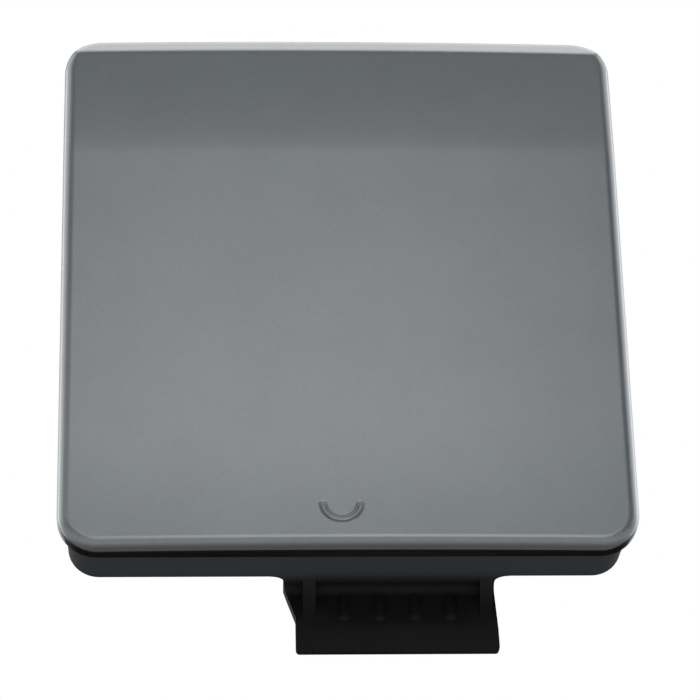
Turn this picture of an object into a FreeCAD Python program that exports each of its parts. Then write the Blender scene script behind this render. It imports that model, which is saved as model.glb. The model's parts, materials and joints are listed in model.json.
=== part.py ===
import FreeCAD
import Part

import math
import os

from FreeCAD import Vector

# Snap-in cover for the towing-eye opening of a car's bumper, moulded in one piece.
# A crowned front panel with a rounded edge carries a seat ledge and, inset behind it, a drafted skirt that
# drops into the bumper's opening. A folded tongue hooks behind the lower edge of the opening, and two
# cantilever hooks snap behind the upper edge. Low ribs stiffen the back of the panel.
# All sizes are in millimetres. The origin is the middle of the panel on the plane of the seat ledge.
# +X is to the right for a viewer in front of the bumper, +Y points into the car, and +Z is up.

# Front panel
PANEL_WIDTH = 72.0
PANEL_HEIGHT = 74.0
CORNER_RADIUS = 5.0
RIM_DEPTH = 3.5  # from the seat ledge forward to the flat part of the face
WALL = 2.5
CROWN_RADIUS = 1000.0  # how the face bulges from left to right
EDGE_RADIUS = 1.5  # rounding of the face's outer edge

# The upper band of the face leans back along a soft crease, as the bumper does
BAND_HEIGHT = 16.5
BAND_ANGLE = 3.5
CREASE_RADIUS = 60.0

# The band's top rolls further back towards the panel's upper edge
ROLL_HEIGHT = 2.8
ROLL_RADIUS = 2.0
ROLL_ANGLE = 28.0

# Skirt that locates the cover in the opening
LEDGE = 0.9  # how far the skirt stands in from the panel's edge
SKIRT_DEPTH = 9.0
SKIRT_WALL = 1.8
DRAFT_ANGLE = 1.0
POCKET_FLOOR_RADIUS = 0.8
SKIRT_END_RADIUS = 0.3

# Crush ribs that centre the skirt between the opening's sides
CRUSH_RIB_RADIUS = 0.5
CRUSH_RIB_PROUD = 0.3
CRUSH_RIB_LENGTH = 6.0
CRUSH_RIB_SPACING = 40.0

# Stiffening ribs on the back of the panel
RIB_ROOT = 1.4
RIB_CREST = 1.0
RIB_HEIGHT = 3.5

# Round pads where the ejector pins push the moulding off its core
PAD_RADIUS = 2.0
PAD_HEIGHT = 0.3
PAD_INSET = 6.0  # from the skirt's inner wall to the pad's centre

# Tongue at the bottom
TONGUE_WIDTH = 25.8  # across its tip
TONGUE_OFFSET = 6.6  # to the right of the panel's middle
TONGUE_REACH = 12.4  # from the seat ledge to the tongue's front face
TONGUE_DROP = 8.4  # below the strap that carries it
TONGUE_WALL = 2.0
TONGUE_BEND_RADIUS = 1.3
TONGUE_INSET = 0.25  # above the skirt's outer face
TONGUE_TIP_HEIGHT = 2.6
TONGUE_TIP_DEPTH = 1.0
TONGUE_CORNER_RADIUS = 0.5
TONGUE_TAPER = 0.6  # at the right side, from tip to root
ROOT_FLARE_WIDTH = 1.5  # at the left side
ROOT_FLARE_HEIGHT = 4.2
STRAP_FILLET = 1.7  # where the strap leaves the skirt's rear edge

# Gussets and low round ribs on the tongue's front face
GUSSET_WALL = 1.6
GUSSET_HEIGHT = 4.3
GUSSET_DEPTH = 2.5
GUSSET_INSET = 0.9
TONGUE_RIB_COUNT = 4
TONGUE_RIB_RADIUS = 1.1
TONGUE_RIB_PROUD = 0.4
TONGUE_RIB_PITCH = 4.5
TONGUE_RIB_LENGTH = 3.6

# Cantilever snap hooks at the top. They catch behind the same flange that the tongue's ribs bear on.
HOOK_SPACING = 30.0
HOOK_WIDTH = 8.0
HOOK_ROOT = 2.2
HOOK_TIP = 1.4
HOOK_REACH = TONGUE_REACH - TONGUE_RIB_PROUD  # from the seat ledge to the catch
HOOK_BARB = 1.3
HOOK_BARB_LAND = 0.6
HOOK_RAMP = 3.2
CATCH_ANGLE = 25.0
HOOK_INSET = 0.3  # below the skirt's outer face, so that the arm can flex
HOOK_NOTCH_GAP = 1.3
HOOK_NOTCH_START = 1.0
HOOK_EDGE_RADIUS = 0.25

# Sunken arc that marks where to press
MARK_RADIUS = 2.4
MARK_SWEEP = 150.0  # degrees of arc
MARK_GROOVE_RADIUS = 0.5
MARK_DEPTH = 0.35
MARK_HEIGHT = 6.0  # of the arc's centre above the panel's lower edge
MARK_OFFSET = -1.0

OVERLAP = 0.6  # how far a rib or arm runs into the wall that carries it

UP = Vector(0, 0, 1)
INTO_CAR = Vector(0, 1, 0)
RIGHT = Vector(1, 0, 0)


def in_section(depth, height):
    """A point of the upright section through the part's middle."""
    return Vector(0, depth, height)


def arc(start, middle, end):
    return Part.Arc(start, middle, end).toShape()


def line(start, end):
    return Part.LineSegment(start, end).toShape()


def closed_face(*edges):
    return Part.Face(Part.Wire(list(edges)))


def polygon_face(points):
    return Part.Face(Part.makePolygon(points + points[:1]))


def rounded_rectangle(width, height, radius, depth):
    """The outline of a plate, in the plane at that depth."""
    half_x, half_z = width / 2, height / 2
    diagonal = radius * (1 - math.sqrt(0.5))
    corners = []
    for side, level in ((1, 1), (-1, 1), (-1, -1), (1, -1)):
        along_z = Vector(side * half_x, depth, level * (half_z - radius))
        along_x = Vector(side * (half_x - radius), depth, level * half_z)
        middle = Vector(side * (half_x - diagonal), depth, level * (half_z - diagonal))
        ends = (along_z, along_x) if side * level > 0 else (along_x, along_z)
        corners.append((ends[0], middle, ends[1]))
    edges = []
    for number, (start, middle, end) in enumerate(corners):
        edges.append(arc(start, middle, end))
        edges.append(line(end, corners[(number + 1) % len(corners)][0]))
    return Part.Wire(edges)


def plate(width, height, radius, front, back):
    outline = Part.Face(rounded_rectangle(width, height, radius, front))
    return outline.extrude(INTO_CAR * (back - front))


def drafted_plate(width, height, radius, front, back, growth):
    """A plate whose sides grow outwards by that much from its front to its back."""
    wide = rounded_rectangle(width + 2 * growth, height + 2 * growth, radius + growth, back)
    return Part.makeLoft([rounded_rectangle(width, height, radius, front), wide], True, True)


def draft_over(depth):
    return depth * math.tan(math.radians(DRAFT_ANGLE))


def leaning(angle):
    """The direction up along the face where it leans back by that angle."""
    return in_section(math.sin(angle), math.cos(angle))


def square_to_face(angle):
    """The direction straight out of the face where it leans back by that angle."""
    return in_section(-math.cos(angle), math.sin(angle))


def behind_face(depth, back, rolled=False):
    """All that lies further back than that depth under the face, as one crowned block."""
    margin = CORNER_RADIUS
    lean = math.radians(BAND_ANGLE)
    end_lean = math.radians(ROLL_ANGLE) if rolled else lean
    crease = PANEL_HEIGHT / 2 - BAND_HEIGHT
    tangent = CREASE_RADIUS * math.tan(lean / 2)
    crease_centre = in_section(CREASE_RADIUS - RIM_DEPTH, crease - tangent)

    def on_crease(angle):
        return crease_centre + square_to_face(angle) * (CREASE_RADIUS - depth)

    def run_up(start, height, angle):
        return start + leaning(angle) * ((height - start.z) / math.cos(angle))

    foot = in_section(depth - RIM_DEPTH, -PANEL_HEIGHT / 2 - margin)
    face_line = [line(foot, on_crease(0)), arc(on_crease(0), on_crease(lean / 2), on_crease(lean))]
    top = on_crease(lean)
    if rolled:
        band_end = run_up(top, PANEL_HEIGHT / 2 - ROLL_HEIGHT, lean)
        roll_centre = band_end - square_to_face(lean) * ROLL_RADIUS
        roll_middle = roll_centre + square_to_face((lean + end_lean) / 2) * ROLL_RADIUS
        roll_end = roll_centre + square_to_face(end_lean) * ROLL_RADIUS
        face_line += [line(top, band_end), arc(band_end, roll_middle, roll_end)]
        top = roll_end
    head = run_up(top, PANEL_HEIGHT / 2 + margin, end_lean)
    head_back, foot_back = in_section(back, head.z), in_section(back, foot.z)
    section = closed_face(
        *face_line, line(top, head), line(head, head_back), line(head_back, foot_back), line(foot_back, foot)
    )
    pivot = in_section(CROWN_RADIUS - RIM_DEPTH, 0)
    half_turn = math.degrees(math.asin((PANEL_WIDTH / 2 + margin) / CROWN_RADIUS))
    section.rotate(pivot, UP, -half_turn)
    return section.revolve(pivot, UP, 2 * half_turn)


def faces_forward(face):
    return face.normalAt(*middle_of(face)).y < -0.5


def faces_sideways(face):
    return abs(face.normalAt(*middle_of(face)).y) < 0.1


def middle_of(face):
    low_u, high_u, low_v, high_v = face.ParameterRange
    return (low_u + high_u) / 2, (low_v + high_v) / 2


def edges_between(solid, first_kind, second_kind):
    """The edges where a face of one kind meets a face of the other."""
    found = []
    for edge in solid.Edges:
        faces = solid.ancestorsOfType(edge, Part.Face)
        if len(faces) == 2 and (
            (first_kind(faces[0]) and second_kind(faces[1]))
            or (first_kind(faces[1]) and second_kind(faces[0]))
        ):
            found.append(edge)
    return found


def make_panel():
    """The crowned face with its rolled top, down to the flat seat ledge, with its edge rounded."""
    ahead = -(RIM_DEPTH + CORNER_RADIUS)
    block = plate(PANEL_WIDTH, PANEL_HEIGHT, CORNER_RADIUS, ahead, 0)
    block = block.common(behind_face(0, CORNER_RADIUS, rolled=True))
    return block.makeFillet(EDGE_RADIUS, edges_between(block, faces_forward, faces_sideways))


def make_skirt():
    start = -WALL / 2
    growth = -draft_over(SKIRT_DEPTH - start)
    skirt = drafted_plate(
        PANEL_WIDTH - 2 * LEDGE, PANEL_HEIGHT - 2 * LEDGE, CORNER_RADIUS - LEDGE, start, SKIRT_DEPTH, growth
    )
    end_edges = [edge for edge in skirt.Edges if edge.BoundBox.YMin > SKIRT_DEPTH - OVERLAP]
    return skirt.makeFillet(SKIRT_END_RADIUS, end_edges)


def make_pocket():
    """The hollow behind the panel, which leaves the panel's and the skirt's walls."""
    inset = LEDGE + SKIRT_WALL
    back = SKIRT_DEPTH + OVERLAP
    pocket = drafted_plate(
        PANEL_WIDTH - 2 * inset,
        PANEL_HEIGHT - 2 * inset,
        CORNER_RADIUS - inset,
        -RIM_DEPTH,
        back,
        draft_over(back + RIM_DEPTH),
    )
    pocket = pocket.common(behind_face(WALL, back + OVERLAP))
    return pocket.makeFillet(POCKET_FLOOR_RADIUS, edges_between(pocket, faces_forward, faces_sideways))


def pocket_half_width():
    return PANEL_WIDTH / 2 - LEDGE - SKIRT_WALL


def pocket_half_height():
    return PANEL_HEIGHT / 2 - LEDGE - SKIRT_WALL


def pocket_wall_at_rim():
    """Height of the pocket's lower wall at the skirt's rear edge."""
    return -pocket_half_height() - draft_over(SKIRT_DEPTH + RIM_DEPTH)


def floor_depth(across, height):
    """How far behind the seat ledge the pocket's floor lies at that place, seen from the front."""
    lean = math.radians(BAND_ANGLE)
    crease = PANEL_HEIGHT / 2 - BAND_HEIGHT
    crown = CROWN_RADIUS - math.sqrt(CROWN_RADIUS**2 - across**2)
    return WALL - RIM_DEPTH + crown + max(0, height - crease) * math.tan(lean)


def make_ribs():
    """Two upright ribs under the snap hooks and one across, each narrower at its crest."""
    crest = WALL - RIM_DEPTH + RIB_HEIGHT
    root = WALL - RIM_DEPTH - OVERLAP
    long_x = pocket_half_width() + OVERLAP
    long_z = pocket_half_height() + OVERLAP

    def section(across, start):
        return polygon_face(
            [
                start - across * (RIB_ROOT / 2) + INTO_CAR * root,
                start + across * (RIB_ROOT / 2) + INTO_CAR * root,
                start + across * (RIB_CREST / 2) + INTO_CAR * crest,
                start - across * (RIB_CREST / 2) + INTO_CAR * crest,
            ]
        )

    ribs = [section(UP, RIGHT * -long_x).extrude(RIGHT * 2 * long_x)]
    for side in (-1, 1):
        foot = Vector(side * HOOK_SPACING / 2, 0, -long_z)
        ribs.append(section(RIGHT, foot).extrude(UP * 2 * long_z))
    return ribs


def make_ejector_pads():
    pads = []
    column = pocket_half_width() - PAD_INSET
    row = pocket_half_height() - PAD_INSET
    for x in (-column, 0, column):
        for z in (-row, row):
            foot = Vector(x, floor_depth(x, z) - OVERLAP, z)
            pads.append(Part.makeCylinder(PAD_RADIUS, OVERLAP + PAD_HEIGHT, foot, INTO_CAR))
    return pads


def make_crush_ribs():
    """Short round ribs on the skirt's left and right sides."""
    ribs = []
    for side in (-1, 1):
        x = side * (PANEL_WIDTH / 2 - LEDGE + CRUSH_RIB_PROUD - CRUSH_RIB_RADIUS)
        for z in (-CRUSH_RIB_SPACING / 2, CRUSH_RIB_SPACING / 2):
            foot = Vector(x, -OVERLAP, z)
            length = CRUSH_RIB_LENGTH + OVERLAP - CRUSH_RIB_RADIUS
            rod = Part.makeCylinder(CRUSH_RIB_RADIUS, length, foot, INTO_CAR)
            nose = Part.makeSphere(CRUSH_RIB_RADIUS, foot + INTO_CAR * length)
            ribs.append(rod.fuse(nose))
    return ribs


def hook_places():
    return [side * HOOK_SPACING / 2 for side in (-1, 1)]


def make_hook_notches():
    """Slots in the skirt's top wall that free the snap hooks."""
    low = pocket_half_height() - OVERLAP
    width = HOOK_WIDTH + 2 * HOOK_NOTCH_GAP
    depth = SKIRT_DEPTH + OVERLAP - HOOK_NOTCH_START
    height = PANEL_HEIGHT / 2 - low
    return [
        Part.makeBox(width, depth, height, Vector(x - width / 2, HOOK_NOTCH_START, low)) for x in hook_places()
    ]


def make_hook(x):
    """A tapered arm with a barb that faces up."""
    outer = PANEL_HEIGHT / 2 - LEDGE - HOOK_INSET
    root = floor_depth(x, outer) - OVERLAP
    barb = HOOK_REACH + HOOK_BARB * math.tan(math.radians(CATCH_ANGLE))
    land_end = barb + HOOK_BARB_LAND
    tip = land_end + HOOK_RAMP
    profile = [
        in_section(root, outer),
        in_section(HOOK_REACH, outer),
        in_section(barb, outer + HOOK_BARB),
        in_section(land_end, outer + HOOK_BARB),
        in_section(tip, outer - HOOK_TIP / 2),
        in_section(tip, outer - HOOK_TIP),
        in_section(HOOK_REACH, outer - HOOK_TIP),
        in_section(root, outer - HOOK_ROOT),
    ]
    arm = polygon_face(profile).extrude(RIGHT * HOOK_WIDTH)
    arm.translate(RIGHT * (x - HOOK_WIDTH / 2))
    crosswise = [
        edge for edge in arm.Edges if edge.BoundBox.XLength > HOOK_WIDTH / 2 and edge.BoundBox.YMin > HOOK_REACH
    ]
    return arm.makeFillet(HOOK_EDGE_RADIUS, crosswise)


def tongue_underside():
    return -(PANEL_HEIGHT / 2 - LEDGE - TONGUE_INSET)


def tongue_sides():
    """Left and right edges of the tongue at its tip."""
    return TONGUE_OFFSET - TONGUE_WIDTH / 2, TONGUE_OFFSET + TONGUE_WIDTH / 2


def make_tongue():
    """A strap that leaves the skirt's bottom wall, folds down with an even wall and ends in a lead-in."""
    under = tongue_underside()
    tip = under - TONGUE_DROP
    root = WALL - RIM_DEPTH - OVERLAP
    fold = in_section(TONGUE_REACH - TONGUE_BEND_RADIUS, under - TONGUE_BEND_RADIUS)
    outer_radius = TONGUE_BEND_RADIUS + TONGUE_WALL
    back = TONGUE_REACH + TONGUE_WALL

    def on_fold(radius, angle):
        turn = math.radians(angle)
        return fold + in_section(math.sin(turn), math.cos(turn)) * radius

    start_under = in_section(root, under)
    start_over = in_section(root, under + TONGUE_WALL)
    lead_in = in_section(TONGUE_REACH, tip + TONGUE_TIP_HEIGHT)
    tip_front = in_section(TONGUE_REACH + TONGUE_TIP_DEPTH, tip)
    tip_back = in_section(back, tip)
    section = closed_face(
        line(start_under, on_fold(TONGUE_BEND_RADIUS, 0)),
        arc(on_fold(TONGUE_BEND_RADIUS, 0), on_fold(TONGUE_BEND_RADIUS, 45), on_fold(TONGUE_BEND_RADIUS, 90)),
        line(on_fold(TONGUE_BEND_RADIUS, 90), lead_in),
        line(lead_in, tip_front),
        line(tip_front, tip_back),
        line(tip_back, on_fold(outer_radius, 90)),
        arc(on_fold(outer_radius, 90), on_fold(outer_radius, 45), on_fold(outer_radius, 0)),
        line(on_fold(outer_radius, 0), start_over),
        line(start_over, start_under),
    )
    reach = PANEL_WIDTH
    strap = section.extrude(RIGHT * reach)
    strap.translate(RIGHT * (TONGUE_OFFSET - reach / 2))
    return strap.common(make_tongue_outline(tip))


def make_tongue_outline(tip):
    """The tongue seen from the front: flared at its left root and a little wider at its tip."""
    left, right = tongue_sides()
    under = tongue_underside()
    top = under + 2 * TONGUE_WALL
    outline = polygon_face(
        [
            Vector(left - ROOT_FLARE_WIDTH, 0, top),
            Vector(left - ROOT_FLARE_WIDTH, 0, under),
            Vector(left, 0, under - ROOT_FLARE_HEIGHT),
            Vector(left, 0, tip),
            Vector(right, 0, tip),
            Vector(right - TONGUE_TAPER, 0, under),
            Vector(right - TONGUE_TAPER, 0, top),
        ]
    )
    depth = RIM_DEPTH + TONGUE_REACH + 2 * TONGUE_WALL
    blank = outline.extrude(INTO_CAR * depth)
    blank.translate(INTO_CAR * -RIM_DEPTH)
    tip_corners = [
        edge
        for edge in blank.Edges
        if edge.BoundBox.YLength > depth / 2 and edge.BoundBox.ZMax < tip + TONGUE_CORNER_RADIUS
    ]
    return blank.makeFillet(TONGUE_CORNER_RADIUS, tip_corners)


def make_strap_fillets():
    """Round the two inner corners, seen in plan, where the strap leaves the skirt's rear edge."""
    left, right = tongue_sides()
    under = tongue_underside()
    height = pocket_wall_at_rim() - under
    fillets = []
    for side, x in ((-1, left - ROOT_FLARE_WIDTH), (1, right - TONGUE_TAPER)):
        bulge = STRAP_FILLET * (1 - math.sqrt(0.5))

        def in_plan(out, back):
            return Vector(x + side * out, SKIRT_DEPTH + back, under)

        section = closed_face(
            line(in_plan(-OVERLAP, -OVERLAP), in_plan(-OVERLAP, STRAP_FILLET)),
            line(in_plan(-OVERLAP, STRAP_FILLET), in_plan(0, STRAP_FILLET)),
            arc(in_plan(0, STRAP_FILLET), in_plan(bulge, bulge), in_plan(STRAP_FILLET, 0)),
            line(in_plan(STRAP_FILLET, 0), in_plan(STRAP_FILLET, -OVERLAP)),
            line(in_plan(STRAP_FILLET, -OVERLAP), in_plan(-OVERLAP, -OVERLAP)),
        )
        fillets.append(section.extrude(UP * height))
    return fillets


def make_gussets():
    """Triangular webs in the fold, one near each side of the tongue."""
    under = tongue_underside()
    left, right = tongue_sides()
    web = polygon_face(
        [
            in_section(TONGUE_REACH - GUSSET_DEPTH, under + OVERLAP),
            in_section(TONGUE_REACH - GUSSET_DEPTH, under),
            in_section(TONGUE_REACH, under - GUSSET_HEIGHT),
            in_section(TONGUE_REACH + OVERLAP, under - GUSSET_HEIGHT),
            in_section(TONGUE_REACH + OVERLAP, under + OVERLAP),
        ]
    ).extrude(RIGHT * GUSSET_WALL)
    return [
        web.translated(RIGHT * (left + GUSSET_INSET)),
        web.translated(RIGHT * (right - GUSSET_INSET - GUSSET_WALL)),
    ]


def make_tongue_ribs():
    """Low round ribs that take up play against the bumper."""
    ribs = []
    top = tongue_underside() - TONGUE_BEND_RADIUS
    depth = TONGUE_REACH + TONGUE_RIB_RADIUS - TONGUE_RIB_PROUD
    for number in range(TONGUE_RIB_COUNT):
        x = TONGUE_OFFSET + (number - (TONGUE_RIB_COUNT - 1) / 2) * TONGUE_RIB_PITCH
        low = Vector(x, depth, top - TONGUE_RIB_LENGTH + TONGUE_RIB_RADIUS)
        rod = Part.makeCylinder(TONGUE_RIB_RADIUS, TONGUE_RIB_LENGTH - TONGUE_RIB_RADIUS, low, UP)
        ribs.append(rod.fuse(Part.makeSphere(TONGUE_RIB_RADIUS, low)))
    return ribs


def make_press_mark():
    """A round-bottomed groove along an arc that is open at its top, with rounded ends."""
    depth = -RIM_DEPTH - MARK_GROOVE_RADIUS + MARK_DEPTH
    centre = Vector(MARK_OFFSET, depth, MARK_HEIGHT - PANEL_HEIGHT / 2)
    lowest = centre - UP * MARK_RADIUS
    disc = Part.Face(Part.Wire(Part.makeCircle(MARK_GROOVE_RADIUS, lowest, RIGHT)))
    disc.rotate(centre, INTO_CAR, -MARK_SWEEP / 2)
    groove = disc.revolve(centre, INTO_CAR, MARK_SWEEP)
    for turn in (-MARK_SWEEP / 2, MARK_SWEEP / 2):
        end = Part.makeSphere(MARK_GROOVE_RADIUS, lowest)
        end.rotate(centre, INTO_CAR, turn)
        groove = groove.fuse(end)
    return groove


def make_cover():
    cover = make_panel().fuse(make_skirt())
    cover = cover.cut(Part.makeCompound([make_pocket(), *make_hook_notches()]))
    added = [*make_ribs(), *make_ejector_pads(), *make_crush_ribs()]
    added += [make_hook(x) for x in hook_places()]
    added += [make_tongue(), *make_strap_fillets(), *make_gussets(), *make_tongue_ribs()]
    cover = cover.multiFuse(added)
    return cover.cut(make_press_mark()).removeSplitter()


def save(shape, node):
    os.makedirs("parts", exist_ok=True)
    solids = shape.Solids
    print(
        f"{node}: {len(solids)} solid, valid {shape.isValid()}, {shape.Volume:.0f} mm3, "
        f"{len(shape.Faces)} faces, box {shape.BoundBox.XLength:.2f} x {shape.BoundBox.YLength:.2f} "
        f"x {shape.BoundBox.ZLength:.2f}"
    )
    solids[0].exportStep(f"parts/{node}.step")


save(make_cover(), "tow_hook_cover")
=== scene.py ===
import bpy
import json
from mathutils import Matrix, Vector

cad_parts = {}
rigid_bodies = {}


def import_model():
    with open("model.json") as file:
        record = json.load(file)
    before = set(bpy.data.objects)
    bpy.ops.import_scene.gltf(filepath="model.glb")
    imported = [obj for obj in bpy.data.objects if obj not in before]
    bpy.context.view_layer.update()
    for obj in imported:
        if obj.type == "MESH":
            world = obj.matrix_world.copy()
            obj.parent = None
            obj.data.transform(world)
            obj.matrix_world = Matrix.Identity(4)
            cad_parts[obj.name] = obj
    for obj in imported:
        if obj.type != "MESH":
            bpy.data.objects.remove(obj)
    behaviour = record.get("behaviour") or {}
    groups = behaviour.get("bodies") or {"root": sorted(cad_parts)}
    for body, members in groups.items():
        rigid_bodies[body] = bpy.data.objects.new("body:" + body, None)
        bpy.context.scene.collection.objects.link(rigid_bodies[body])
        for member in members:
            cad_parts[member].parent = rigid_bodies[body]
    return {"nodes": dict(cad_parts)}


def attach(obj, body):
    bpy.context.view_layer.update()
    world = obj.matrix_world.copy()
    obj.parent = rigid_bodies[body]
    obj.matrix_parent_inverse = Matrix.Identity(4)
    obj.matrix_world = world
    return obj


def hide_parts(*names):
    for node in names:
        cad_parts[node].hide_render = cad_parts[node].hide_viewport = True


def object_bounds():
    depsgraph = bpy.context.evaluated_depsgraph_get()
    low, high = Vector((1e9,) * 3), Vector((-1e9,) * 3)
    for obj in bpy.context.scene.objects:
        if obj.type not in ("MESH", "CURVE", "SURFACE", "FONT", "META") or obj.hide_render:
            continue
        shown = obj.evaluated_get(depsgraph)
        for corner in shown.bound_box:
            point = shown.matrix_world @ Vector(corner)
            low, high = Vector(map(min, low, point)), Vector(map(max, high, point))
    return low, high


bl_info = {
    "name": "Towing Eye Cover",
    "version": (1, 0, 0),
    "blender": (4, 5, 0),
    "location": "View3D > Sidebar > Towing Eye Cover",
    "description": "Paints a snap-in bumper cover, finishes its black moulding and sets up a studio",
    "category": "Object",
}

import json
import math

import bpy
from bpy.props import FloatProperty, FloatVectorProperty, PointerProperty
from mathutils import Matrix, Vector

# The start-up scene's cube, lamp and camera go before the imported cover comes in
bpy.ops.object.select_all(action="SELECT")
bpy.ops.object.delete()
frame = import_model()

# The cover as it stands in its bumper: +X is to the right seen from the front, +Y points into the car and
# +Z is up. The cover's sizes are in millimetres, which MM turns into metres, and the studio's in metres.
MM = 0.001
BODY = "root"
MOULDING = "tow_hook_cover"
CAD_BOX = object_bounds()
FRONT_DEPTH = CAD_BOX[0][1]
PAINT_EDGE = 0.15 * MM  # how far in front of the seat ledge the paint ends
BARE_PLASTIC = "#0A0B0C"

# How finely the painted face is divided: round its corners, in rings from its border inwards, in columns,
# in the rows of its flat part, its crease and its band, and once more round the sunken arc
CORNER_SEGMENTS = 16
EDGE_RINGS = 14
INNER_RINGS, INNER_RING_WIDTH = 11, 0.15 * MM
COLUMNS = 31
FLAT_ROWS, CREASE_ROWS, BAND_ROWS = 12, 10, 3
MARK_CUTS = 19
MARK_SIDES, MARK_BELOW, MARK_ABOVE = 4 * MM, 4 * MM, 3 * MM

CORNER_MARGIN = 0.05 * MM  # how far in front of the paint's end the upper corners stop
BORDER_TOLERANCE = 0.002 * MM  # a vertex nearer the outline than this lies on the border
MERGE_DISTANCE = 0.001 * MM
BARE_GROOVE_SETBACK = 0.15 * MM  # how much deeper the bare groove lies under the paint
BARE_GROOVE_REACH = 0.6 * MM  # and how far from the arc's middle line
FRONT_LAYER = 0.5 * MM  # the depth in which the moulding has only its front

# Edges that turn less than this are shaded smooth
PAINT_SMOOTHING = math.radians(40)
PLASTIC_SMOOTHING = math.radians(35)

# Sizes of the patterns. Paint flakes are about 0.02 mm across, and specks of dry paint and the grain of a
# mould about 0.1 mm. All three are too fine to show, so they are drawn coarser.
FLAKE = 0.16 * MM
FLAKE_RELIEF = 0.02 * MM
SPRAY_CLOUD = 9 * MM
ORANGE_PEEL = 1.4 * MM
ORANGE_PEEL_RELIEF = 0.0015 * MM
GLOSS_PATCH = 6 * MM
GRAIN_RELIEF = 0.02 * MM
MIST_SPECK = 0.3 * MM
PAPER_FIBRE = 2 * MM
PAPER_RELIEF = 0.05 * MM
FELT_NAP = 1 * MM
FELT_RELIEF = 0.1 * MM

# Where the paint gives way to black, partly as a real paint edge and partly as painted shade under the lower
# edge:
# below which height over the panel's lower border, and on faces that look down how steeply, as the Z of
# their normal
UNDERSIDE_HEIGHT_FULL, UNDERSIDE_HEIGHT_END = 2.5 * MM, 3.0 * MM
UNDERSIDE_SLOPE_FULL, UNDERSIDE_SLOPE_START = -0.92, -0.45
# Where the mist and the painted light on the skirt end, as depths behind the seat
SKIRT_MIST_LIGHT_FULL, SKIRT_MIST_LIGHT_END = 7 * MM, 12 * MM


def srgb(code):
    """An sRGB hex colour as linear RGBA."""
    parts = [int(code[i : i + 2], 16) / 255 for i in (1, 3, 5)]
    linear = [c / 12.92 if c <= 0.04045 else ((c + 0.055) / 1.055) ** 2.4 for c in parts]
    return (*linear, 1.0)


class PaintSettings(bpy.types.PropertyGroup):
    """The painted face: its size, its shape and its colour"""

    width: FloatProperty(
        name="Width",
        description="Width of the panel",
        default=CAD_BOX[1][0] - CAD_BOX[0][0],
        unit="LENGTH",
        subtype="DISTANCE",
    )
    height: FloatProperty(
        name="Height",
        description="Height of the panel, without its hooks and tongue",
        default=74.0 * MM,
        unit="LENGTH",
        subtype="DISTANCE",
    )
    corner_radius: FloatProperty(
        name="Corner radius",
        description="Radius of the panel's corners seen from the front",
        default=5.0 * MM,
        unit="LENGTH",
        subtype="DISTANCE",
    )
    edge_radius: FloatProperty(
        name="Edge radius",
        description="Radius with which the face rolls over into its side",
        default=1.5 * MM,
        unit="LENGTH",
        subtype="DISTANCE",
    )
    crown_radius: FloatProperty(
        name="Crown radius",
        description="Radius of the face's bulge from left to right",
        default=1.0,
        unit="LENGTH",
        subtype="DISTANCE",
    )
    band_height: FloatProperty(
        name="Band height",
        description="Height of the upper band that leans back",
        default=16.5 * MM,
        unit="LENGTH",
        subtype="DISTANCE",
    )
    band_angle: FloatProperty(
        name="Band angle",
        description="How far the upper band leans back",
        default=math.radians(3.5),
        subtype="ANGLE",
    )
    crease_radius: FloatProperty(
        name="Crease radius",
        description="Radius of the soft crease under the upper band",
        default=60.0 * MM,
        unit="LENGTH",
        subtype="DISTANCE",
    )
    roll_height: FloatProperty(
        name="Roll height",
        description="Height from the top edge down to where the band rolls further back",
        default=2.8 * MM,
        unit="LENGTH",
        subtype="DISTANCE",
    )
    roll_radius: FloatProperty(
        name="Roll radius",
        description="Radius of the rolled top edge",
        default=2.0 * MM,
        unit="LENGTH",
        subtype="DISTANCE",
    )
    roll_angle: FloatProperty(
        name="Roll angle",
        description="How far the rolled top edge leans back",
        default=math.radians(28),
        subtype="ANGLE",
    )
    mark_radius: FloatProperty(
        name="Mark radius",
        description="Radius of the sunken arc that shows where to press",
        default=2.4 * MM,
        unit="LENGTH",
        subtype="DISTANCE",
    )
    mark_sweep: FloatProperty(
        name="Mark sweep",
        description="How far the sunken arc turns",
        default=math.radians(150),
        subtype="ANGLE",
    )
    mark_height: FloatProperty(
        name="Mark height",
        description="Height of the arc's centre above the panel's lower edge",
        default=6.0 * MM,
        unit="LENGTH",
        subtype="DISTANCE",
    )
    mark_offset: FloatProperty(
        name="Mark offset",
        description="How far the arc's centre lies to the right of the panel's middle",
        default=-1.0 * MM,
        unit="LENGTH",
        subtype="DISTANCE",
    )
    groove_radius: FloatProperty(
        name="Groove radius",
        description="Radius of the arc's round bottom",
        default=0.5 * MM,
        unit="LENGTH",
        subtype="DISTANCE",
    )
    groove_depth: FloatProperty(
        name="Groove depth",
        description="Depth of the sunken arc",
        default=0.35 * MM,
        unit="LENGTH",
        subtype="DISTANCE",
    )
    groove_shoulder: FloatProperty(
        name="Groove shoulder",
        description="Radius that the paint leaves on the arc's shoulders",
        default=0.1 * MM,
        unit="LENGTH",
        subtype="DISTANCE",
    )
    film: FloatProperty(
        name="Paint film",
        description="Thickness of primer, colour and clear coat together",
        default=0.05 * MM,
        unit="LENGTH",
        subtype="DISTANCE",
    )
    colour: FloatVectorProperty(
        name="Colour",
        description="Silver-grey base coat",
        default=srgb("#81878B"),
        size=4,
        min=0.0,
        max=1.0,
        subtype="COLOR",
    )


class PlasticSettings(bpy.types.PropertyGroup):
    """The bare moulding behind the paint"""

    colour: FloatVectorProperty(
        name="Colour",
        description="Colour of the bare plastic",
        default=srgb(BARE_PLASTIC),
        size=4,
        min=0.0,
        max=1.0,
        subtype="COLOR",
    )
    # Also painted light: this lighter colour stands in for the light that the skirt's underside catches from
    # below
    mist_and_light_colour: FloatVectorProperty(
        name="Mist colour",
        description="Colour of the plastic where dry paint mist has settled on it",
        default=srgb("#444749"),
        size=4,
        min=0.0,
        max=1.0,
        subtype="COLOR",
    )
    grain: FloatProperty(
        name="Grain",
        description="Size of the eroded grain that the mould leaves",
        default=0.25 * MM,
        unit="LENGTH",
        subtype="DISTANCE",
    )


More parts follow.
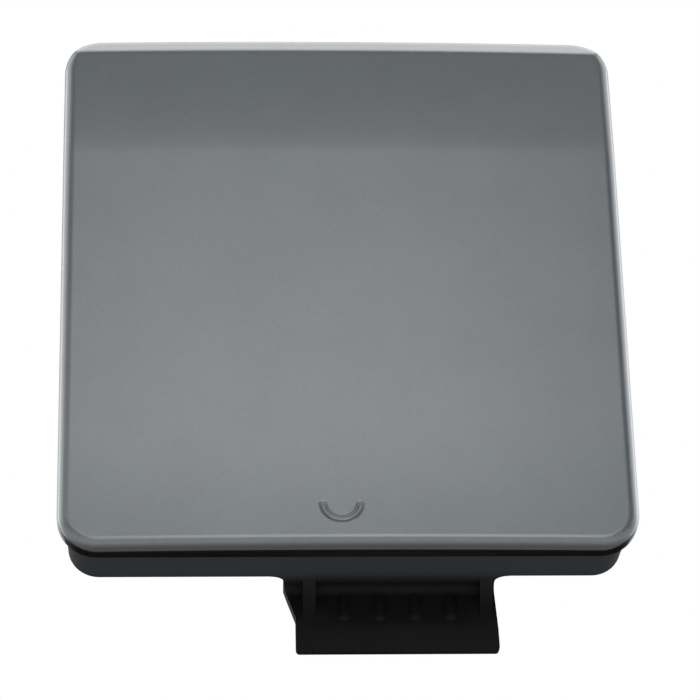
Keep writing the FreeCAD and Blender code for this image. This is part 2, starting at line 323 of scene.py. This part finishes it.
class StageSettings(bpy.types.PropertyGroup):
    """The studio around the cover"""

    floor_drop: FloatProperty(
        name="Floor drop",
        description="How far the floor lies below the cover's middle",
        default=0.42,
        unit="LENGTH",
        subtype="DISTANCE",
    )
    floor_colour: FloatVectorProperty(
        name="Floor colour",
        description="Colour of the floor",
        default=srgb("#F2F2F2"),
        size=4,
        min=0.0,
        max=1.0,
        subtype="COLOR",
    )
    lens: FloatProperty(
        name="Lens",
        description="Focal length of the camera",
        default=166.18,
        unit="CAMERA",
    )
    key_power: FloatProperty(
        name="Key power",
        description="Power of the large soft box in front",
        default=1.6,
        unit="POWER",
    )
    top_power: FloatProperty(
        name="Top power",
        description="Power of the soft box overhead, which lights the rolled top edge",
        default=2.7,
        unit="POWER",
    )
    strip_power: FloatProperty(
        name="Strip power",
        description="Power of each strip lamp beside the cover, which lights its side edges",
        default=0.5,
        unit="POWER",
    )


def add(tree, kind, settings=None, inputs=None):
    """Adds one node, sets its properties, and sets or links its inputs."""
    node = tree.nodes.new(kind)
    for name, value in (settings or {}).items():
        setattr(node, name, value)
    for name, value in (inputs or {}).items():
        if isinstance(value, bpy.types.NodeSocket):
            tree.links.new(value, node.inputs[name])
        else:
            node.inputs[name].default_value = value
    return node


def new_material(name):
    material = bpy.data.materials.new(name)
    material.use_nodes = True
    material.node_tree.nodes.clear()
    return material, material.node_tree


def deselect_all():
    bpy.ops.object.select_all(action="DESELECT")


def take(obj):
    """Makes the object the only selected and the active one."""
    deselect_all()
    obj.select_set(True)
    bpy.context.view_layer.objects.active = obj


def select_where(obj, kind, test):
    """In edit mode, selects the vertices or faces for which the test on their place holds."""
    bpy.ops.mesh.select_mode(type=kind)
    bpy.ops.mesh.select_all(action="DESELECT")
    bpy.ops.object.mode_set(mode="OBJECT")
    if kind == "VERT":
        for vertex in obj.data.vertices:
            vertex.select = test(vertex.co)
    else:
        for face in obj.data.polygons:
            face.select = test(face.center)
    bpy.ops.object.mode_set(mode="EDIT")


def apply_modifier(obj, kind, **settings):
    modifier = obj.modifiers.new(kind.title(), kind)
    for name, value in settings.items():
        setattr(modifier, name, value)
    bpy.ops.object.modifier_apply(modifier=modifier.name)


def push_back(obj, depth_at):
    """Moves every vertex back by its own depth, with a vertex group that drives a displacement along +Y."""
    depths = [depth_at(vertex.co) for vertex in obj.data.vertices]
    deepest = max(depths)
    group = obj.vertex_groups.new(name="depth")
    for number, depth in enumerate(depths):
        group.add([number], depth / deepest, "REPLACE")
    apply_modifier(
        obj, "DISPLACE", direction="Y", strength=deepest, mid_level=0.0, vertex_group=group.name
    )
    obj.vertex_groups.clear()


def clear_coated_paint(settings):
    """Silver-grey car paint: aluminium flakes under a glossy clear coat with a faint orange peel."""
    # Sprayed in two layers. The flakes give the eye a soft metallic grey that darkens away from the light,
    # and the clear coat lays sharp, slightly wavy reflections over it.
    material, tree = new_material("clear_coated_silver_paint")
    coordinates = add(tree, "ShaderNodeTexCoord")
    place = coordinates.outputs["Object"]
    flakes = add(
        tree,
        "ShaderNodeTexVoronoi",
        {"feature": "F1"},
        {"Vector": place, "Scale": 1 / FLAKE, "Randomness": 1.0},
    )
    tone = add(
        tree,
        "ShaderNodeMapRange",
        None,
        {"Value": flakes.outputs["Color"], "To Min": 0.93, "To Max": 1.07},
    )
    cloud = add(tree, "ShaderNodeTexNoise", None, {"Vector": place, "Scale": 1 / SPRAY_CLOUD, "Detail": 3.0})
    drift = add(
        tree,
        "ShaderNodeMapRange",
        None,
        {"Value": cloud.outputs["Fac"], "From Min": 0.3, "From Max": 0.7, "To Min": 0.97, "To Max": 1.03},
    )
    shade = add(
        tree,
        "ShaderNodeMath",
        {"operation": "MULTIPLY"},
        {0: tone.outputs["Result"], 1: drift.outputs["Result"]},
    )
    colour = add(
        tree,
        "ShaderNodeVectorMath",
        {"operation": "SCALE"},
        {0: tuple(settings.colour)[:3], "Scale": shade.outputs["Value"]},
    )
    peel = add(tree, "ShaderNodeTexNoise", None, {"Vector": place, "Scale": 1 / ORANGE_PEEL, "Detail": 1.0})
    peel_bump = add(
        tree,
        "ShaderNodeBump",
        None,
        {"Height": peel.outputs["Fac"], "Strength": 1.0, "Distance": ORANGE_PEEL_RELIEF},
    )
    flake_bump = add(
        tree,
        "ShaderNodeBump",
        None,
        {"Height": flakes.outputs["Distance"], "Strength": 0.15, "Distance": FLAKE_RELIEF},
    )
    # Under the lower edge, faces that look down turn black. This is partly a real paint edge, as the spray
    # comes from in front and above, and partly painted shade where the underside gets little light
    height = add(tree, "ShaderNodeSeparateXYZ", None, {"Vector": place})
    facing = add(tree, "ShaderNodeSeparateXYZ", None, {"Vector": coordinates.outputs["Normal"]})
    looks_down = add(
        tree,
        "ShaderNodeMapRange",
        {"interpolation_type": "SMOOTHSTEP"},
        {
            "Value": facing.outputs["Z"],
            "From Min": UNDERSIDE_SLOPE_FULL,
            "From Max": UNDERSIDE_SLOPE_START,
            "To Min": 1.0,
            "To Max": 0.0,
        },
    )
    at_lower_edge = add(
        tree,
        "ShaderNodeMapRange",
        None,
        {
            "Value": height.outputs["Z"],
            "From Min": UNDERSIDE_HEIGHT_END - settings.height / 2,
            "From Max": UNDERSIDE_HEIGHT_FULL - settings.height / 2,
        },
    )
    # Painted shade as well as bare plastic: the downward-looking faces under the lower edge are coloured
    # black
    bare = add(
        tree,
        "ShaderNodeMath",
        {"operation": "MULTIPLY"},
        {0: looks_down.outputs["Result"], 1: at_lower_edge.outputs["Result"]},
    )
    skin = add(
        tree,
        "ShaderNodeMix",
        {"data_type": "RGBA"},
        {0: bare.outputs["Value"], 6: colour.outputs["Vector"], 7: srgb(BARE_PLASTIC)},
    )
    flake_share = add(
        tree,
        "ShaderNodeMapRange",
        None,
        {"Value": bare.outputs["Value"], "To Min": 0.6, "To Max": 0.0},
    )
    shader = add(
        tree,
        "ShaderNodeBsdfPrincipled",
        None,
        {
            "Base Color": skin.outputs[2],
            "Metallic": flake_share.outputs["Result"],
            "Roughness": 0.4,
            "Coat Weight": 1.0,
            "Coat Roughness": 0.05,
            "Normal": flake_bump.outputs["Normal"],
            "Coat Normal": peel_bump.outputs["Normal"],
        },
    )
    add(tree, "ShaderNodeOutputMaterial", None, {"Surface": shader.outputs["BSDF"]})
    return material


def moulded_plastic(settings):
    """Black injection-moulded polypropylene: matt, with the fine eroded grain of its mould."""
    # Dyed through and moulded, so the eye gets a deep black, and the grain spreads every highlight
    material, tree = new_material("moulded_black_polypropylene")
    place = add(tree, "ShaderNodeTexCoord").outputs["Object"]
    grain = add(
        tree,
        "ShaderNodeTexNoise",
        None,
        {"Vector": place, "Scale": 1 / settings.grain, "Detail": 2.0, "Roughness": 0.6},
    )
    worn = add(tree, "ShaderNodeTexNoise", None, {"Vector": place, "Scale": 1 / GLOSS_PATCH, "Detail": 4.0})
    roughness = add(
        tree,
        "ShaderNodeMapRange",
        None,
        {"Value": worn.outputs["Fac"], "From Min": 0.3, "From Max": 0.7, "To Min": 0.56, "To Max": 0.66},
    )
    bump = add(
        tree,
        "ShaderNodeBump",
        None,
        {"Height": grain.outputs["Fac"], "Strength": 0.6, "Distance": GRAIN_RELIEF},
    )
    # Dry paint mist drifts over the rim and settles on the skirt, less and less further back. Its lighter
    # colour is also painted light, standing in for the light that the skirt's underside catches from below
    depth = add(tree, "ShaderNodeSeparateXYZ", None, {"Vector": place})
    reach = add(
        tree,
        "ShaderNodeMapRange",
        {"interpolation_type": "SMOOTHSTEP"},
        {
            "Value": depth.outputs["Y"],
            "From Min": SKIRT_MIST_LIGHT_FULL,
            "From Max": SKIRT_MIST_LIGHT_END,
            "To Min": 1.0,
            "To Max": 0.0,
        },
    )
    specks = add(tree, "ShaderNodeTexNoise", None, {"Vector": place, "Scale": 1 / MIST_SPECK, "Detail": 3.0})
    cover = add(
        tree,
        "ShaderNodeMapRange",
        None,
        {"Value": specks.outputs["Fac"], "From Min": 0.3, "From Max": 0.7, "To Min": 0.8, "To Max": 1.0},
    )
    # Painted light as well as mist: the skirt's front is lightened where its underside would catch light
    # from below
    mist = add(
        tree,
        "ShaderNodeMath",
        {"operation": "MULTIPLY"},
        {0: reach.outputs["Result"], 1: cover.outputs["Result"]},
    )
    colour = add(
        tree,
        "ShaderNodeMix",
        {"data_type": "RGBA"},
        {0: mist.outputs["Value"], 6: tuple(settings.colour), 7: tuple(settings.mist_and_light_colour)},
    )
    shader = add(
        tree,
        "ShaderNodeBsdfPrincipled",
        None,
        {
            "Base Color": colour.outputs[2],
            "Roughness": roughness.outputs["Result"],
            "IOR": 1.49,
            "Specular IOR Level": 0.2,
            "Normal": bump.outputs["Normal"],
        },
    )
    add(tree, "ShaderNodeOutputMaterial", None, {"Surface": shader.outputs["BSDF"]})
    return material


class COVER_OT_painted_face(bpy.types.Operator):
    """Models the painted face: a crowned sheet with a crease, a rolled edge and the push mark"""

    bl_idname = "cover.painted_face"
    bl_label = "Painted Face"

    def execute(self, context):
        s = context.scene.cover_paint
        outline = Outline(s.width / 2 + s.film, s.height / 2 + s.film, s.corner_radius + s.film)
        radius = s.edge_radius + s.film
        deselect_all()
        bpy.ops.mesh.primitive_plane_add(
            size=1.0, location=(0, FRONT_DEPTH - s.film, 0), rotation=(math.pi / 2, 0, 0)
        )
        face = context.object
        face.name = "painted_face"
        face.dimensions = (2 * outline.half_width, 2 * outline.half_height, 0)
        bpy.ops.object.transform_apply(location=True, rotation=True, scale=True)
        bpy.ops.object.mode_set(mode="EDIT")
        bpy.ops.mesh.select_all(action="SELECT")
        bpy.ops.mesh.bevel(offset=outline.radius, segments=CORNER_SEGMENTS, affect="VERTICES")
        # Close rings for the rounded edge, and on inwards past the line where the top starts to roll
        ring_edges_inwards(arc_insets(radius, EDGE_RINGS) + [INNER_RING_WIDTH] * INNER_RINGS)
        side, top = outline.half_width - outline.radius, outline.half_height - outline.radius
        cut_across(Vector((1, 0, 0)), even_steps(-side, side, COLUMNS))
        start, end = crease_start(s), crease_end(s)
        cut_across(Vector((0, 0, 1)), even_steps(-top, start, FLAT_ROWS))
        cut_across(Vector((0, 0, 1)), even_steps(start, end, CREASE_ROWS)[1:])
        cut_across(Vector((0, 0, 1)), even_steps(end, top, BAND_ROWS)[1:])
        # Only the cells that the sunken arc crosses are fine enough to take it
        mark_z = s.mark_height - s.height / 2
        select_where(
            face,
            "FACE",
            lambda place: abs(place.x - s.mark_offset) < MARK_SIDES
            and -MARK_BELOW < place.z - mark_z < MARK_ABOVE,
        )
        bpy.ops.mesh.subdivide(number_cuts=MARK_CUTS)
        bpy.ops.object.mode_set(mode="OBJECT")
        # In the upper corners the edge's rounding would run past the paint's end, so it stops just short
        deepest = s.film - FRONT_DEPTH - PAINT_EDGE - CORNER_MARGIN
        push_back(
            face,
            lambda place: min(face_depth(s, outline, radius, place) + mark_depth(s, place), deepest),
        )
        wrap_border_back(face, outline, -PAINT_EDGE)
        # The film's inner side lies inside the moulding, so that no gap opens between the two
        apply_modifier(face, "SOLIDIFY", thickness=3 * s.film, offset=-1.0)
        bpy.ops.object.shade_smooth_by_angle(angle=PAINT_SMOOTHING)
        face.data.materials.append(clear_coated_paint(s))
        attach(face, BODY)
        return {"FINISHED"}


class Outline:
    """The panel's outline seen from the front: a rectangle with rounded corners."""

    def __init__(self, half_width, half_height, radius):
        self.half_width = half_width
        self.half_height = half_height
        self.radius = radius

    def from_border(self, place):
        """How far inside the outline a place lies, and the direction straight outwards from it."""
        across = abs(place.x) - (self.half_width - self.radius)
        along = abs(place.z) - (self.half_height - self.radius)
        if across > 0 and along > 0:
            reach = math.hypot(across, along)
            out_x, out_z = across / reach, along / reach
        elif across > along:
            reach, out_x, out_z = across, 1.0, 0.0
        else:
            reach, out_x, out_z = along, 0.0, 1.0
        outwards = (math.copysign(out_x, place.x), math.copysign(out_z, place.z))
        return max(self.radius - reach, 0.0), outwards


def even_steps(start, end, count):
    return [start + (end - start) * number / count for number in range(count + 1)]


def arc_insets(radius, steps):
    """Ring widths that divide a quarter round evenly by angle, from its foot to its crown."""
    reach = [radius * (1 - math.cos(math.pi / 2 * number / steps)) for number in range(steps + 1)]
    return [after - before for before, after in zip(reach, reach[1:])]


def ring_edges_inwards(widths):
    bpy.ops.mesh.select_all(action="SELECT")
    for width in widths:
        bpy.ops.mesh.inset(thickness=width, depth=0, use_boundary=True, use_even_offset=True)


def cut_across(across, places):
    """Cuts the whole sheet at each of those places along one direction."""
    for place in places:
        bpy.ops.mesh.select_all(action="SELECT")
        bpy.ops.mesh.bisect(plane_co=across * place, plane_no=across)


def wrap_border_back(obj, outline, depth):
    """Draws the sheet's open border straight back over the side of the moulding, to one depth all round."""
    take(obj)
    bpy.ops.object.mode_set(mode="EDIT")
    select_where(obj, "VERT", lambda place: outline.from_border(place)[0] < BORDER_TOLERANCE)
    # The new ring is drawn out a little, and then flattened at its depth
    bpy.ops.mesh.extrude_region_move(TRANSFORM_OT_translate={"value": (0, 0.1 * MM, 0)})
    bpy.ops.transform.resize(value=(1, 0, 1), center_override=(0, depth, 0))
    bpy.ops.object.mode_set(mode="OBJECT")


def crease_start(settings):
    crease = settings.height / 2 - settings.band_height
    return crease - settings.crease_radius * math.tan(settings.band_angle / 2)


def crease_end(settings):
    return crease_start(settings) + settings.crease_radius * math.sin(settings.band_angle)


def lean_at(settings, z):
    """Depth and slope of the face's upright section at that height: flat, crease, band and rolled top."""
    lean, roll = settings.band_angle, settings.roll_angle
    start, end = crease_start(settings), crease_end(settings)
    band_end = settings.height / 2 - settings.roll_height
    roll_end = band_end + settings.roll_radius * (math.sin(roll) - math.sin(lean))
    if z <= start:
        return 0.0, 0.0
    if z <= end:
        angle = math.asin((z - start) / settings.crease_radius)
        return settings.crease_radius * (1 - math.cos(angle)), math.tan(angle)
    depth = settings.crease_radius * (1 - math.cos(lean))
    if z <= band_end:
        return depth + (z - end) * math.tan(lean), math.tan(lean)
    depth += (band_end - end) * math.tan(lean)
    if z <= roll_end:
        angle = math.asin(math.sin(lean) + (z - band_end) / settings.roll_radius)
        return depth + settings.roll_radius * (math.cos(lean) - math.cos(angle)), math.tan(angle)
    depth += settings.roll_radius * (math.cos(lean) - math.cos(roll))
    return depth + (z - roll_end) * math.tan(roll), math.tan(roll)


def face_depth(settings, outline, radius, place):
    """How far back the painted face lies at that place, with its crown, crease and rounded edge."""
    crown = settings.crown_radius - math.sqrt(settings.crown_radius**2 - place.x**2)
    lean, slope = lean_at(settings, place.z)
    inside, outwards = outline.from_border(place)
    fall = outwards[0] * place.x / settings.crown_radius + outwards[1] * slope
    angle = math.atan(fall)
    depth = crown + lean
    if inside < radius * (1 - math.sin(angle)):
        depth += radius / math.cos(angle) - radius * fall + fall * inside
        depth -= math.sqrt(radius**2 - (radius - inside) ** 2)
    return depth


def mark_distance(settings, place):
    """How far a place seen from the front lies from the middle line of the sunken arc."""
    across = place.x - settings.mark_offset
    below = settings.mark_height - settings.height / 2 - place.z
    end = settings.mark_sweep / 2
    if abs(math.atan2(across, below)) <= end:
        return abs(math.hypot(across, below) - settings.mark_radius)
    end_across = math.copysign(math.sin(end) * settings.mark_radius, across)
    return math.hypot(across - end_across, below - math.cos(end) * settings.mark_radius)


def mark_depth(settings, place):
    """Depth of the sunken arc at that place: a round bottom between two rounded shoulders."""
    away = mark_distance(settings, place)
    groove, shoulder = settings.groove_radius, settings.groove_shoulder
    above = groove - settings.groove_depth
    reach = math.sqrt((groove + shoulder) ** 2 - (above + shoulder) ** 2)
    if away >= reach:
        return 0.0
    if away >= reach * groove / (groove + shoulder):
        return shoulder - math.sqrt(shoulder**2 - (reach - away) ** 2)
    return math.sqrt(groove**2 - away**2) - above


class COVER_OT_moulding(bpy.types.Operator):
    """Takes the moulding behind the paint, with its skirt, hooks and tongue, and gives it its plastic"""

    bl_idname = "cover.moulding"
    bl_label = "Black Moulding"

    def execute(self, context):
        s = context.scene.cover_paint
        take(frame["nodes"][MOULDING])
        bpy.ops.object.duplicate()
        moulding = context.object
        moulding.name = "black_moulding"
        bpy.ops.mesh.customdata_custom_splitnormals_clear()
        bpy.ops.object.mode_set(mode="EDIT")
        bpy.ops.mesh.select_all(action="SELECT")
        bpy.ops.mesh.remove_doubles(threshold=MERGE_DISTANCE)
        # The bare groove under the paint lies a little deeper, so that its coarser faces stay covered
        select_where(
            moulding,
            "VERT",
            lambda place: place.y < FRONT_DEPTH + FRONT_LAYER
            and mark_distance(s, place) < BARE_GROOVE_REACH,
        )
        bpy.ops.transform.translate(value=(0, BARE_GROOVE_SETBACK, 0))
        bpy.ops.object.mode_set(mode="OBJECT")
        bpy.ops.object.shade_smooth_by_angle(angle=PLASTIC_SMOOTHING)
        moulding.data.materials.clear()
        moulding.data.materials.append(moulded_plastic(context.scene.cover_plastic))
        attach(moulding, BODY)
        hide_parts(MOULDING)
        return {"FINISHED"}


FLOOR_SIZE = 12.0
FLOOR_GLOW = 0.6  # share of the floor's paleness that a shadow leaves
CARD_PLACE, CARD_SIZE, CARD_TILT = (0, 0.42, -0.18), (1.2, 0.5, 0), math.radians(60)
PLAIN_LEVEL = 0.42  # the even light that the world gives matt surfaces

# The photograph's camera, fitted to the cover's outline: its place, and its turn in degrees
CAMERA_PLACE = Vector((-20.9, -366.7, -193.2)) * MM
CAMERA_PITCH, CAMERA_YAW, CAMERA_ROLL = 26.701, 3.373, -1.505
CAMERA_NEAR, CAMERA_FAR = 0.01, 20.0
SENSOR_WIDTH = 36.0

# What a gloss mirrors, as a strength and the fades that bound it. Each fade follows one part of the unit
# vector in which the gloss looks, from one value to another, and the light goes from one share to another.
BEFORE_THE_FACE = ("Y", -0.6, -0.5, 1.0, 0.0)
FRONT_FADES = (("X", 0.05, 0.34, 1.0, 0.0), ("X", -0.28, -0.02, 0.0, 1.0), BEFORE_THE_FACE)
SIDE_FADES = (("Y", -0.65, -0.3, 0.0, 1.0), ("Z", 0.0, 0.3, 0.0, 1.0), ("Z", 0.8, 0.95, 1.0, 0.0))
MIRRORED_LIGHTS = (
    # the soft panel in front
    (2.04, (("Z", 0.42, 0.555, 1.0, 0.0), ("Z", 0.395, 0.43, 0.3, 1.0), *FRONT_FADES)),
    # a faint strip over it, which lights the lower half of the upper band
    (0.55, (("Z", 0.606, 0.624, 1.0, 0.0), ("Z", 0.44, 0.54, 0.0, 1.0), *FRONT_FADES)),
    # a second soft panel under the first, which lights the lower edge
    (
        2.1,
        (
            ("Z", 0.33, 0.39, 1.0, 0.0),
            ("Z", -0.02, 0.06, 0.0, 1.0),
            ("X", 0.14, 0.38, 1.0, 0.0),
            ("X", -0.30, 0.10, 0.1, 1.0),
            BEFORE_THE_FACE,
        ),
    ),
    # a fill low down at the left, between the front and the side
    (
        0.7,
        (
            ("X", -0.28, -0.10, 1.0, 0.0),
            ("X", -0.80, -0.65, 0.0, 1.0),
            ("Z", 0.43, 0.48, 1.0, 0.0),
            ("Z", 0.20, 0.35, 0.0, 1.0),
            ("Y", -0.55, -0.45, 1.0, 0.0),
        ),
    ),
    # a panel on each side, which the side edges mirror
    (1.0, (("X", -0.65, -0.4, 1.0, 0.0), *SIDE_FADES)),
    (1.0, (("X", 0.4, 0.65, 0.0, 1.0), *SIDE_FADES)),
    # the room: dim in front, white at the sides, and dimmer behind and towards the ceiling
    (1.0, (("Y", -0.65, 0.1, 0.05, 1.0), ("Y", 0.2, 0.8, 1.0, 0.5), ("Z", 0.35, 0.6, 1.0, 0.5))),
)


class COVER_OT_stage(bpy.types.Operator):
    """Adds the pale floor, the soft boxes, the world and the camera"""

    bl_idname = "cover.stage"
    bl_label = "Studio and Camera"

    def execute(self, context):
        s = context.scene.cover_stage
        self.add_floor(s)
        self.add_black_card()
        self.add_lamps(s)
        self.add_world(context.scene)
        self.add_camera(context.scene, s)
        context.scene.view_settings.view_transform = "Standard"
        return {"FINISHED"}

    def add_floor(self, s):
        deselect_all()
        bpy.ops.mesh.primitive_plane_add(size=FLOOR_SIZE, location=(0, 0, -s.floor_drop))
        floor = bpy.context.object
        floor.name = "studio_floor"
        bpy.ops.object.transform_apply(location=True, rotation=False, scale=False)
        # Uncoated paper gives the eye an even, pale ground without a shine
        material, tree = new_material("pale_paper_floor")
        place = add(tree, "ShaderNodeTexCoord").outputs["Object"]
        fibre = add(
            tree, "ShaderNodeTexNoise", None, {"Vector": place, "Scale": 1 / PAPER_FIBRE, "Detail": 4.0}
        )
        bump = add(
            tree,
            "ShaderNodeBump",
            None,
            {"Height": fibre.outputs["Fac"], "Strength": 0.1, "Distance": PAPER_RELIEF},
        )
        path = add(tree, "ShaderNodeLightPath")
        looked_at = add(
            tree,
            "ShaderNodeMath",
            {"operation": "ADD", "use_clamp": True},
            {0: path.outputs["Is Camera Ray"], 1: path.outputs["Is Glossy Ray"]},
        )
        looked_at = add(
            tree,
            "ShaderNodeMath",
            {"operation": "ADD", "use_clamp": True},
            {0: looked_at.outputs["Value"], 1: path.outputs["Is Transmission Ray"]},
        )
        lit = add(
            tree,
            "ShaderNodeBsdfPrincipled",
            None,
            {"Base Color": tuple(s.floor_colour), "Roughness": 0.9, "Normal": bump.outputs["Normal"]},
        )
        # The paper keeps a soft shadow, and a glow of its own keeps it pale where little light falls
        glow = add(
            tree, "ShaderNodeEmission", None, {"Color": tuple(s.floor_colour), "Strength": 1.0}
        )
        pale = add(
            tree,
            "ShaderNodeMixShader",
            None,
            {0: FLOOR_GLOW, 1: lit.outputs["BSDF"], 2: glow.outputs["Emission"]},
        )
        # Matt surfaces get only the light that a grey table would throw back
        grey = add(tree, "ShaderNodeBsdfDiffuse", None, {"Color": srgb("#C0C0C0")})
        paper = add(
            tree,
            "ShaderNodeMixShader",
            None,
            {0: looked_at.outputs["Value"], 1: grey.outputs["BSDF"], 2: pale.outputs["Shader"]},
        )
        add(tree, "ShaderNodeOutputMaterial", None, {"Surface": paper.outputs["Shader"]})
        floor.data.materials.append(material)

    def add_black_card(self):
        """A black card low down behind the cover, which only the lower edge's gloss mirrors."""
        deselect_all()
        bpy.ops.mesh.primitive_plane_add(size=1.0, location=CARD_PLACE, rotation=(CARD_TILT, 0, 0))
        card = bpy.context.object
        card.name = "studio_black_card"
        card.dimensions = CARD_SIZE
        bpy.ops.object.transform_apply(location=True, rotation=True, scale=True)
        # Wool felt gives the eye a black without any shine
        material, tree = new_material("black_felt_card")
        place = add(tree, "ShaderNodeTexCoord").outputs["Object"]
        nap = add(tree, "ShaderNodeTexNoise", None, {"Vector": place, "Scale": 1 / FELT_NAP})
        bump = add(tree, "ShaderNodeBump", None, {"Height": nap.outputs["Fac"], "Distance": FELT_RELIEF})
        felt = add(
            tree,
            "ShaderNodeBsdfDiffuse",
            None,
            {"Color": srgb("#141414"), "Normal": bump.outputs["Normal"]},
        )
        add(tree, "ShaderNodeOutputMaterial", None, {"Surface": felt.outputs["BSDF"]})
        card.data.materials.append(material)
        card.visible_camera = False
        card.visible_diffuse = False
        card.visible_shadow = False

    def add_lamps(self, s):
        # Each has the azimuth and elevation it shines from in degrees, its distance, its size and its power
        for name, aim_from, distance, size, power in (
            ("key_soft_box", (-10, 25), 0.9, (0.8, 0.5), s.key_power),
            ("top_soft_box", (0, 92), 0.8, (0.7, 0.75), s.top_power),
            ("left_strip", (-112, 10), 0.7, (0.15, 0.7), s.strip_power),
            ("right_strip", (112, 10), 0.7, (0.15, 0.7), s.strip_power),
        ):
            soft_box(name, aim_from, distance, size, power)
        # The world already mirrors a panel in front, so the key light only lights matt surfaces
        bpy.data.objects["key_soft_box"].visible_glossy = False

    def add_world(self, scene):
        """White where the camera looks. A gloss mirrors the soft panels and the room round them, and matt
        surfaces get a plain level of light."""
        world = bpy.data.worlds.new("studio_world")
        world.use_nodes = True
        tree = world.node_tree
        tree.nodes.clear()
        path = add(tree, "ShaderNodeLightPath")
        direction = add(tree, "ShaderNodeTexCoord").outputs["Generated"]
        toward = add(tree, "ShaderNodeSeparateXYZ", None, {"Vector": direction})

        studio = 0.0
        for strength, fades in MIRRORED_LIGHTS:
            level = strength
            for axis, start, end, before, after in fades:
                fade = add(
                    tree,
                    "ShaderNodeMapRange",
                    {"interpolation_type": "SMOOTHSTEP"},
                    {
                        "Value": toward.outputs[axis],
                        "From Min": start,
                        "From Max": end,
                        "To Min": before,
                        "To Max": after,
                    },
                )
                product = add(
                    tree, "ShaderNodeMath", {"operation": "MULTIPLY"}, {0: level, 1: fade.outputs["Result"]}
                )
                level = product.outputs["Value"]
            total = add(tree, "ShaderNodeMath", {"operation": "ADD"}, {0: studio, 1: level})
            studio = total.outputs["Value"]
        mirrored = add(
            tree,
            "ShaderNodeMath",
            {"operation": "MAXIMUM"},
            {0: path.outputs["Is Glossy Ray"], 1: path.outputs["Is Transmission Ray"]},
        )
        white = srgb("#FFFFFF")
        plain = add(tree, "ShaderNodeBackground", None, {"Color": white, "Strength": PLAIN_LEVEL})
        reflected = add(tree, "ShaderNodeBackground", None, {"Color": white, "Strength": studio})
        backdrop = add(tree, "ShaderNodeBackground", None, {"Color": white, "Strength": 1.0})
        lit = add(
            tree,
            "ShaderNodeMixShader",
            None,
            {
                0: mirrored.outputs["Value"],
                1: plain.outputs["Background"],
                2: reflected.outputs["Background"],
            },
        )
        shown = add(
            tree,
            "ShaderNodeMixShader",
            None,
            {
                0: path.outputs["Is Camera Ray"],
                1: lit.outputs["Shader"],
                2: backdrop.outputs["Background"],
            },
        )
        add(tree, "ShaderNodeOutputWorld", None, {"Surface": shown.outputs["Shader"]})
        scene.world = world

    def add_camera(self, scene, s):
        """Places the camera below the cover, looking up at it."""
        pitch, yaw, roll = (math.radians(angle) for angle in (CAMERA_PITCH, CAMERA_YAW, CAMERA_ROLL))
        look = Vector((math.sin(yaw) * math.cos(pitch), math.cos(yaw) * math.cos(pitch), math.sin(pitch)))
        level = Vector((math.cos(yaw), -math.sin(yaw), 0))
        upward = level.cross(look)
        right = level * math.cos(roll) + upward * math.sin(roll)
        up = upward * math.cos(roll) - level * math.sin(roll)
        data = bpy.data.cameras.new("photo_camera")
        data.lens = s.lens
        data.sensor_width = SENSOR_WIDTH
        data.clip_start, data.clip_end = CAMERA_NEAR, CAMERA_FAR
        camera = bpy.data.objects.new("photo_camera", data)
        turn = Matrix((right, up, -look)).transposed().to_4x4()
        camera.matrix_world = Matrix.Translation(CAMERA_PLACE) @ turn
        scene.collection.objects.link(camera)
        scene.camera = camera


def soft_box(name, aim_from, distance, size, power):
    """A soft box that shines at the cover from an azimuth and an elevation in degrees."""
    azimuth, elevation = (math.radians(angle) for angle in aim_from)
    direction = Vector(
        (
            math.sin(azimuth) * math.cos(elevation),
            -math.cos(azimuth) * math.cos(elevation),
            math.sin(elevation),
        )
    )
    data = bpy.data.lights.new(name, "AREA")
    data.shape = "RECTANGLE"
    data.size, data.size_y = size
    data.energy = power
    lamp = bpy.data.objects.new(name, data)
    lamp.location = direction * distance
    lamp.rotation_euler = direction.to_track_quat("Z", "Y").to_euler()
    lamp.visible_camera = False
    bpy.context.scene.collection.objects.link(lamp)


class COVER_PT_sidebar(bpy.types.Panel):
    """Lists the steps that make the cover and its studio"""

    bl_label = "Towing Eye Cover"
    bl_idname = "COVER_PT_sidebar"
    bl_space_type = "VIEW_3D"
    bl_region_type = "UI"
    bl_category = "Towing Eye Cover"

    def draw(self, context):
        layout = self.layout
        for settings, operator in (
            ("cover_paint", "cover.painted_face"),
            ("cover_plastic", "cover.moulding"),
            ("cover_stage", "cover.stage"),
        ):
            box = layout.box()
            group = getattr(context.scene, settings)
            for name in group.__annotations__:
                box.prop(group, name)
            box.operator(operator)


CLASSES = (
    PaintSettings,
    PlasticSettings,
    StageSettings,
    COVER_OT_painted_face,
    COVER_OT_moulding,
    COVER_OT_stage,
    COVER_PT_sidebar,
)


def register():
    for item in CLASSES:
        bpy.utils.register_class(item)
    bpy.types.Scene.cover_paint = PointerProperty(type=PaintSettings)
    bpy.types.Scene.cover_plastic = PointerProperty(type=PlasticSettings)
    bpy.types.Scene.cover_stage = PointerProperty(type=StageSettings)


def unregister():
    del bpy.types.Scene.cover_stage
    del bpy.types.Scene.cover_plastic
    del bpy.types.Scene.cover_paint
    for item in reversed(CLASSES):
        bpy.utils.unregister_class(item)


def main():
    register()
    bpy.ops.cover.painted_face()
    bpy.ops.cover.moulding()
    bpy.ops.cover.stage()


if __name__ == "__main__":
    main()
